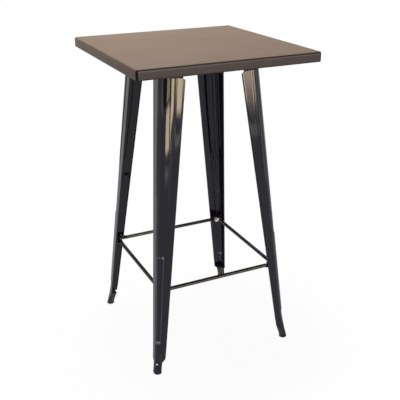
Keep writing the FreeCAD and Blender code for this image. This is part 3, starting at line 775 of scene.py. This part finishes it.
def leg_skin(flange_rise, corner_rise):
    """Outer skin of the back right leg."""
    rows = leg_rows()
    sections = []
    for z in rows:
        half = half_section(z, flange_rise, corner_rise)
        sections.append(half + [(y, x, wear_and_highlight) for x, y, wear_and_highlight in reversed(half[:-1])])
    columns = len(sections[0])
    bm = bmesh.new()
    bmesh.ops.create_grid(bm, x_segments=columns - 1, y_segments=len(rows) - 1, size=1.0)
    # per-point layer holding the share of painted highlight
    painted_highlight = bm.verts.layers.float.new(BEAD_HIGHLIGHT)
    for vertex in bm.verts:
        column = round((vertex.co.x + 1) / 2 * (columns - 1))
        row = round((vertex.co.y + 1) / 2 * (len(rows) - 1))
        x, y, vertex[painted_highlight] = sections[row][column]
        vertex.co = (x, y, rows[row])
    bmesh.ops.remove_doubles(bm, verts=bm.verts, dist=POINT_GAP)
    end = Vector((LEG_CORNER_TOP, LEG_CORNER_TOP, LEG_HEIGHT))
    bmesh.ops.bisect_plane(bm, geom=bm.verts[:] + bm.edges[:] + bm.faces[:], dist=TOLERANCE, plane_co=end,
                           plane_no=(-LEG_LEAN, -LEG_LEAN, 1.0), clear_outer=True)
    bmesh.ops.recalc_face_normals(bm, faces=bm.faces)
    bm.faces.ensure_lookup_table()
    outermost = max(bm.faces, key=lambda f: f.calc_center_median().x + f.calc_center_median().y)
    if outermost.normal.x + outermost.normal.y < 0:
        bmesh.ops.reverse_faces(bm, faces=bm.faces)
    return bm


def make_legs():
    """The four pressed legs, each turned to its corner."""
    sizes = bpy.context.scene.table_sizes
    for place, degrees in CORNERS.items():
        bm = leg_skin(sizes.flange_bead, sizes.corner_bead)
        turn_to_corner(bm, degrees)
        piece = new_piece("pressed_leg_" + place, bm, leg_lacquer(), ["leg_" + place])
        smooth_shaded(piece, LEG_SHADE_ANGLE)
        add_wall(piece, LEG_SHEET)
        add_soft_edges(piece, sizes.edge_softness, SHEET_EDGE_ANGLE)


# ---- foot plugs ---------------------------------------------------------------------

def plug_rings():
    """Centre, radius and height of each ring, from the pad's bottom to the dome's top."""
    pad = corner_at(PAD_THICKNESS) - radius_at(PAD_THICKNESS)
    rings = []
    for degrees in (0, 30, 60, 90):
        angle = math.radians(degrees)
        rings.append((pad, PAD_RADIUS - PAD_EDGE * (1 - math.sin(angle)), PAD_EDGE * (1 - math.cos(angle))))
    rings += [(pad, PAD_RADIUS, PAD_THICKNESS - PAD_STEP), (pad, PAD_RADIUS - PAD_STEP, PAD_THICKNESS)]
    for i in range(PLUG_STEPS + 1):
        z = PAD_THICKNESS + (PLUG_SHOULDER - PAD_THICKNESS) * i / PLUG_STEPS
        rings.append((corner_at(z) - radius_at(z), radius_at(z) - LEG_SHEET - PLUG_GAP, z))
    centre, radius, z = rings[-1]
    for i in range(1, DOME_STEPS):
        angle = math.radians(90.0 * i / DOME_STEPS)
        rings.append((centre, radius * math.cos(angle), z + PLUG_DOME * math.sin(angle)))
    return rings


def make_foot_plugs():
    """The plugs: rings drawn up from the pad, closed by a dome."""
    for place, degrees in CORNERS.items():
        rings = plug_rings()
        bm = bmesh.new()
        centre, radius, z = rings[0]
        ring = bmesh.ops.create_circle(bm, cap_ends=True, radius=radius, segments=PLUG_SEGMENTS)["verts"]
        bmesh.ops.translate(bm, vec=(centre, centre, z), verts=ring)
        edges = [e for e in bm.edges if e.is_boundary]
        for next_centre, next_radius, next_z in rings[1:]:
            grown = bmesh.ops.extrude_edge_only(bm, edges=edges)["geom"]
            ring = [g for g in grown if isinstance(g, bmesh.types.BMVert)]
            edges = [g for g in grown if isinstance(g, bmesh.types.BMEdge) and g.is_boundary]
            share = next_radius / radius
            space = Matrix.Translation((-centre, -centre, 0.0))
            bmesh.ops.scale(bm, vec=(share, share, 1.0), space=space, verts=ring)
            bmesh.ops.translate(bm, vec=(next_centre - centre, next_centre - centre, next_z - z), verts=ring)
            centre, radius, z = next_centre, next_radius, next_z
        cap = bmesh.ops.contextual_create(bm, geom=edges)["faces"]
        middle = bmesh.ops.poke(bm, faces=cap)["verts"][0]
        middle.co.z = PLUG_SHOULDER + PLUG_DOME
        bmesh.ops.recalc_face_normals(bm, faces=bm.faces)
        turn_to_corner(bm, degrees)
        piece = new_piece("moulded_plug_" + place, bm, plug_plastic(), ["foot_plug_" + place])
        smooth_shaded(piece, PLUG_SHADE_ANGLE)


# ---- hardware that keeps its CAD shape ----------------------------------------------

def make_rails():
    for place in ("back", "front", "cross"):
        refined_copy("support_rail_" + place, "hat_rail_" + place, top_lacquer(),
                     PLATE_EDGE)


def make_leg_brackets():
    for place in CORNERS:
        refined_copy("leg_bracket_" + place, "angle_bracket_" + place, top_lacquer(),
                     PLATE_EDGE)


def make_footrest():
    for place in SIDES:
        refined_copy("stretcher_" + place, "footrest_rod_" + place, rod_lacquer(),
                     FOOTREST_EDGE, TURNED_EDGE_ANGLE)
    for place in CORNERS:
        refined_copy("stretcher_bracket_" + place, "ring_plate_" + place, leg_lacquer(),
                     FOOTREST_EDGE)


def make_fasteners():
    for node in ("bracket_bolts", "bracket_washers", "bracket_nuts", "stretcher_bolts", "stretcher_washers",
                 "stretcher_cap_nuts", "foot_rivets"):
        refined_copy(node, "plated_" + node, zinc_plate(), FASTENER_EDGE, TURNED_EDGE_ANGLE)


# ---- stage --------------------------------------------------------------------------

CAMERA_PLACE = (-0.90787, -1.96630, 1.41477)
CAMERA_AZIMUTH = -25.533
CAMERA_ELEVATION = 23.071
CAMERA_ROLL = -0.198
CAMERA_LENS = 59.763

FLOOR_BOUNCE = (0.16, 0.16, 0.16)
SHADOW_NEAR = 0.25
SHADOW_FAR = 0.9
SHADOW_WHITE = 0.94
AIR_COLOUR = (0.80, 0.88, 1.0, 1.0)
AIR_STRENGTH = 0.16

TABLE_MIDDLE = (0.0, 0.0, 0.9)
DAYLIGHT = (1.0, 0.97, 0.94)
LOW_SUN = (1.0, 0.78, 0.55)
COOL = (0.80, 0.83, 1.0)
WARM = (1.0, 0.76, 0.50)
DUSTY = (1.0, 0.82, 0.62)
MOSSY = (1.0, 0.92, 0.45)
PALE = (1.0, 0.93, 0.88)

# name, place, width, height, power, colour, shares of the (left, right, bottom, top) edges that fade
WINDOWS = (
    ("front_window_right", (0.75, -5.0, 0.82), 2.9, 1.24, 221.0, WARM, (0.14, 0.08, 0.12, 0.10)),
    ("side_window", (2.95, -5.0, 0.62), 1.7, 1.2, 94.0, DUSTY, (0.12, 0.10, 0.75, 0.10)),
    ("front_window_left", (-2.4, -5.0, 0.52), 4.2, 0.64, 150.0, WARM, (0.15, 0.10, 0.15, 0.25)),
    ("garden_window", (-2.5, -5.0, 1.08), 4.0, 0.56, 50.0, MOSSY, (0.15, 0.10, 0.10, 0.10)),
    ("window_sill", (-0.4, -4.3, 0.09), 7.0, 0.16, 9.0, PALE, (0.15, 0.15, 0.30, 0.30)),
)


def camera_matrix():
    """Place and turn of the camera, from its azimuth, elevation and roll."""
    azimuth, elevation, roll = (math.radians(a) for a in (CAMERA_AZIMUTH, CAMERA_ELEVATION, CAMERA_ROLL))
    back = Vector((math.sin(azimuth) * math.cos(elevation), -math.cos(azimuth) * math.cos(elevation),
                   math.sin(elevation)))
    right = (-back).cross(Vector((0, 0, 1))).normalized()
    up = right.cross(-back)
    tilted_right = right * math.cos(roll) + up * math.sin(roll)
    tilted_up = up * math.cos(roll) - right * math.sin(roll)
    turn = Matrix((tilted_right, tilted_up, back)).transposed().to_4x4()
    return Matrix.Translation(CAMERA_PLACE) @ turn


def make_camera():
    camera = bpy.data.cameras.new("studio_camera")
    camera.lens = CAMERA_LENS
    camera.sensor_width = 36.0
    holder = bpy.data.objects.new("studio_camera", camera)
    holder.matrix_world = camera_matrix()
    bpy.context.scene.collection.objects.link(holder)
    bpy.context.scene.camera = holder


def floor_material():
    """Pale floor: glows white to the camera and to gloss, and keeps a share of the table's shadow near it."""
    pale = tuple(bpy.context.scene.table_finish.floor_colour)
    material, tree, shader = new_material("pale_floor")
    shader.inputs["Roughness"].default_value = 0.9
    shader.inputs["Specular IOR Level"].default_value = 0.0
    path = tree.nodes.new("ShaderNodeLightPath")
    seen = calculate(tree, "MAXIMUM", path.outputs["Is Camera Ray"], path.outputs["Is Glossy Ray"])
    seen = calculate(tree, "MAXIMUM", seen, path.outputs["Is Transmission Ray"])
    tree.links.new(blend_colours(tree, seen, FLOOR_BOUNCE, pale), shader.inputs["Base Color"])

    coords = tree.nodes.new("ShaderNodeTexCoord")
    reach = tree.nodes.new("ShaderNodeVectorMath")
    reach.operation = "LENGTH"
    tree.links.new(coords.outputs["Object"], reach.inputs[0])
    plain = remap(tree, reach.outputs["Value"], SHADOW_NEAR, SHADOW_FAR, SHADOW_WHITE, 1.0)
    white = tree.nodes.new("ShaderNodeEmission")
    mix = tree.nodes.new("ShaderNodeMixShader")
    tree.links.new(calculate(tree, "MULTIPLY", seen, plain), mix.inputs["Fac"])
    tree.links.new(shader.outputs["BSDF"], mix.inputs[1])
    tree.links.new(white.outputs["Emission"], mix.inputs[2])
    tree.links.new(mix.outputs["Shader"], tree.nodes["Material Output"].inputs["Surface"])
    return material


def make_floor():
    bm = bmesh.new()
    bmesh.ops.create_grid(bm, x_segments=1, y_segments=1, size=40.0)
    mesh = bpy.data.meshes.new("studio_floor")
    bm.to_mesh(mesh)
    bm.free()
    floor = bpy.data.objects.new("studio_floor", mesh)
    mesh.materials.append(floor_material())
    bpy.context.scene.collection.objects.link(floor)


def make_world():
    world = bpy.data.worlds.new("studio_air")
    world.use_nodes = True
    room = world.node_tree.nodes["Background"]
    room.inputs["Color"].default_value = AIR_COLOUR
    room.inputs["Strength"].default_value = AIR_STRENGTH
    bpy.context.scene.world = world


def add_softbox(name, place, target, width, height, power, colour):
    """Rectangular lamp that the camera doesn't see."""
    light = bpy.data.lights.new(name, "AREA")
    light.shape = "RECTANGLE"
    light.size = width
    light.size_y = height
    light.energy = power
    light.color = colour
    holder = bpy.data.objects.new(name, light)
    place, target = Vector(place), Vector(target)
    holder.location = place
    holder.rotation_euler = (place - target).to_track_quat("Z", "Y").to_euler()
    holder.visible_camera = False
    bpy.context.scene.collection.objects.link(holder)
    return holder


def add_window(name, place, width, height, power, colour, softness):
    """Upright lamp that shows in the gloss alone, with edges that fade."""
    level_target = (place[0], 0.0, place[2])
    holder = add_softbox(name, place, level_target, width, height, power, colour)
    holder.visible_diffuse = False
    holder.data.use_nodes = True
    tree = holder.data.node_tree
    spot = tree.nodes.new("ShaderNodeNewGeometry")
    split = tree.nodes.new("ShaderNodeSeparateXYZ")
    tree.links.new(spot.outputs["Parametric"], split.inputs["Vector"])
    mask = 1.0
    for axis, (low, high) in (("X", softness[:2]), ("Y", softness[2:])):
        value = split.outputs[axis]
        mask = calculate(tree, "MULTIPLY", remap(tree, value, 0.0, low), mask)
        mask = calculate(tree, "MULTIPLY", remap(tree, value, 1.0 - high, 1.0, 1.0, 0.0), mask)
    tree.links.new(mask, tree.nodes["Emission"].inputs["Strength"])


def make_stage():
    make_camera()
    make_floor()
    make_world()
    add_softbox("overhead", (-0.1, 1.0, 3.0), TABLE_MIDDLE, 2.0, 2.0, 73.0, DAYLIGHT)
    add_softbox("left_window", (-2.8, -0.4, 1.4), TABLE_MIDDLE, 1.0, 1.4, 7.0, LOW_SUN)
    fill = add_softbox("front_fill", (-0.3, -4.0, 1.2), TABLE_MIDDLE, 2.4, 1.6, 31.0, COOL)
    fill.visible_glossy = False
    for window in WINDOWS:
        add_window(*window)


# ---- operators ----------------------------------------------------------------------

class MakeTop(bpy.types.Operator):
    """Make the folded top"""

    bl_idname = "pub_table.make_top"
    bl_label = "Folded top"

    def execute(self, context):
        make_top()
        return {"FINISHED"}


class MakeRails(bpy.types.Operator):
    """Make the three rails under the top"""

    bl_idname = "pub_table.make_rails"
    bl_label = "Support rails"

    def execute(self, context):
        make_rails()
        return {"FINISHED"}


class MakeLegs(bpy.types.Operator):
    """Make the four pressed legs"""

    bl_idname = "pub_table.make_legs"
    bl_label = "Pressed legs"

    def execute(self, context):
        make_legs()
        return {"FINISHED"}


class MakeLegBrackets(bpy.types.Operator):
    """Make the brackets that join the legs to the rails"""

    bl_idname = "pub_table.make_leg_brackets"
    bl_label = "Leg brackets"

    def execute(self, context):
        make_leg_brackets()
        return {"FINISHED"}


class MakeFootPlugs(bpy.types.Operator):
    """Make the moulded plugs in the feet"""

    bl_idname = "pub_table.make_foot_plugs"
    bl_label = "Foot plugs"

    def execute(self, context):
        make_foot_plugs()
        return {"FINISHED"}


class MakeFootrest(bpy.types.Operator):
    """Make the footrest rods and the plates they bolt to"""

    bl_idname = "pub_table.make_footrest"
    bl_label = "Footrest ring"

    def execute(self, context):
        make_footrest()
        return {"FINISHED"}


class MakeFasteners(bpy.types.Operator):
    """Make the bolts, washers, nuts and rivets"""

    bl_idname = "pub_table.make_fasteners"
    bl_label = "Fasteners"

    def execute(self, context):
        make_fasteners()
        return {"FINISHED"}


class MakeStage(bpy.types.Operator):
    """Make the camera, floor and soft studio light"""

    bl_idname = "pub_table.make_stage"
    bl_label = "Studio stage"

    def execute(self, context):
        make_stage()
        return {"FINISHED"}


OPERATORS = (MakeTop, MakeRails, MakeLegs, MakeLegBrackets, MakeFootPlugs, MakeFootrest, MakeFasteners,
             MakeStage)


class PubTablePanel(bpy.types.Panel):
    """Lists the table's settings and pieces"""

    bl_idname = "VIEW3D_PT_pub_table"
    bl_label = "Pub Table"
    bl_space_type = "VIEW_3D"
    bl_region_type = "UI"
    bl_category = "Pub Table"

    def draw(self, context):
        for settings in (context.scene.table_sizes, context.scene.table_finish):
            for name in settings.__annotations__:
                self.layout.prop(settings, name)
        for operator in OPERATORS:
            self.layout.operator(operator.bl_idname)


CLASSES = (TableFinish, TableSizes, *OPERATORS, PubTablePanel)


def register():
    for cls in CLASSES:
        bpy.utils.register_class(cls)
    bpy.types.Scene.table_finish = PointerProperty(type=TableFinish)
    bpy.types.Scene.table_sizes = PointerProperty(type=TableSizes)


def unregister():
    del bpy.types.Scene.table_sizes
    del bpy.types.Scene.table_finish
    for cls in reversed(CLASSES):
        bpy.utils.unregister_class(cls)


def main():
    register()
    bpy.context.scene.view_settings.view_transform = "Standard"
    bpy.ops.pub_table.make_top()
    bpy.ops.pub_table.make_rails()
    bpy.ops.pub_table.make_legs()
    bpy.ops.pub_table.make_leg_brackets()
    bpy.ops.pub_table.make_foot_plugs()
    bpy.ops.pub_table.make_footrest()
    bpy.ops.pub_table.make_fasteners()
    bpy.ops.pub_table.make_stage()


if __name__ == "__main__":
    main()
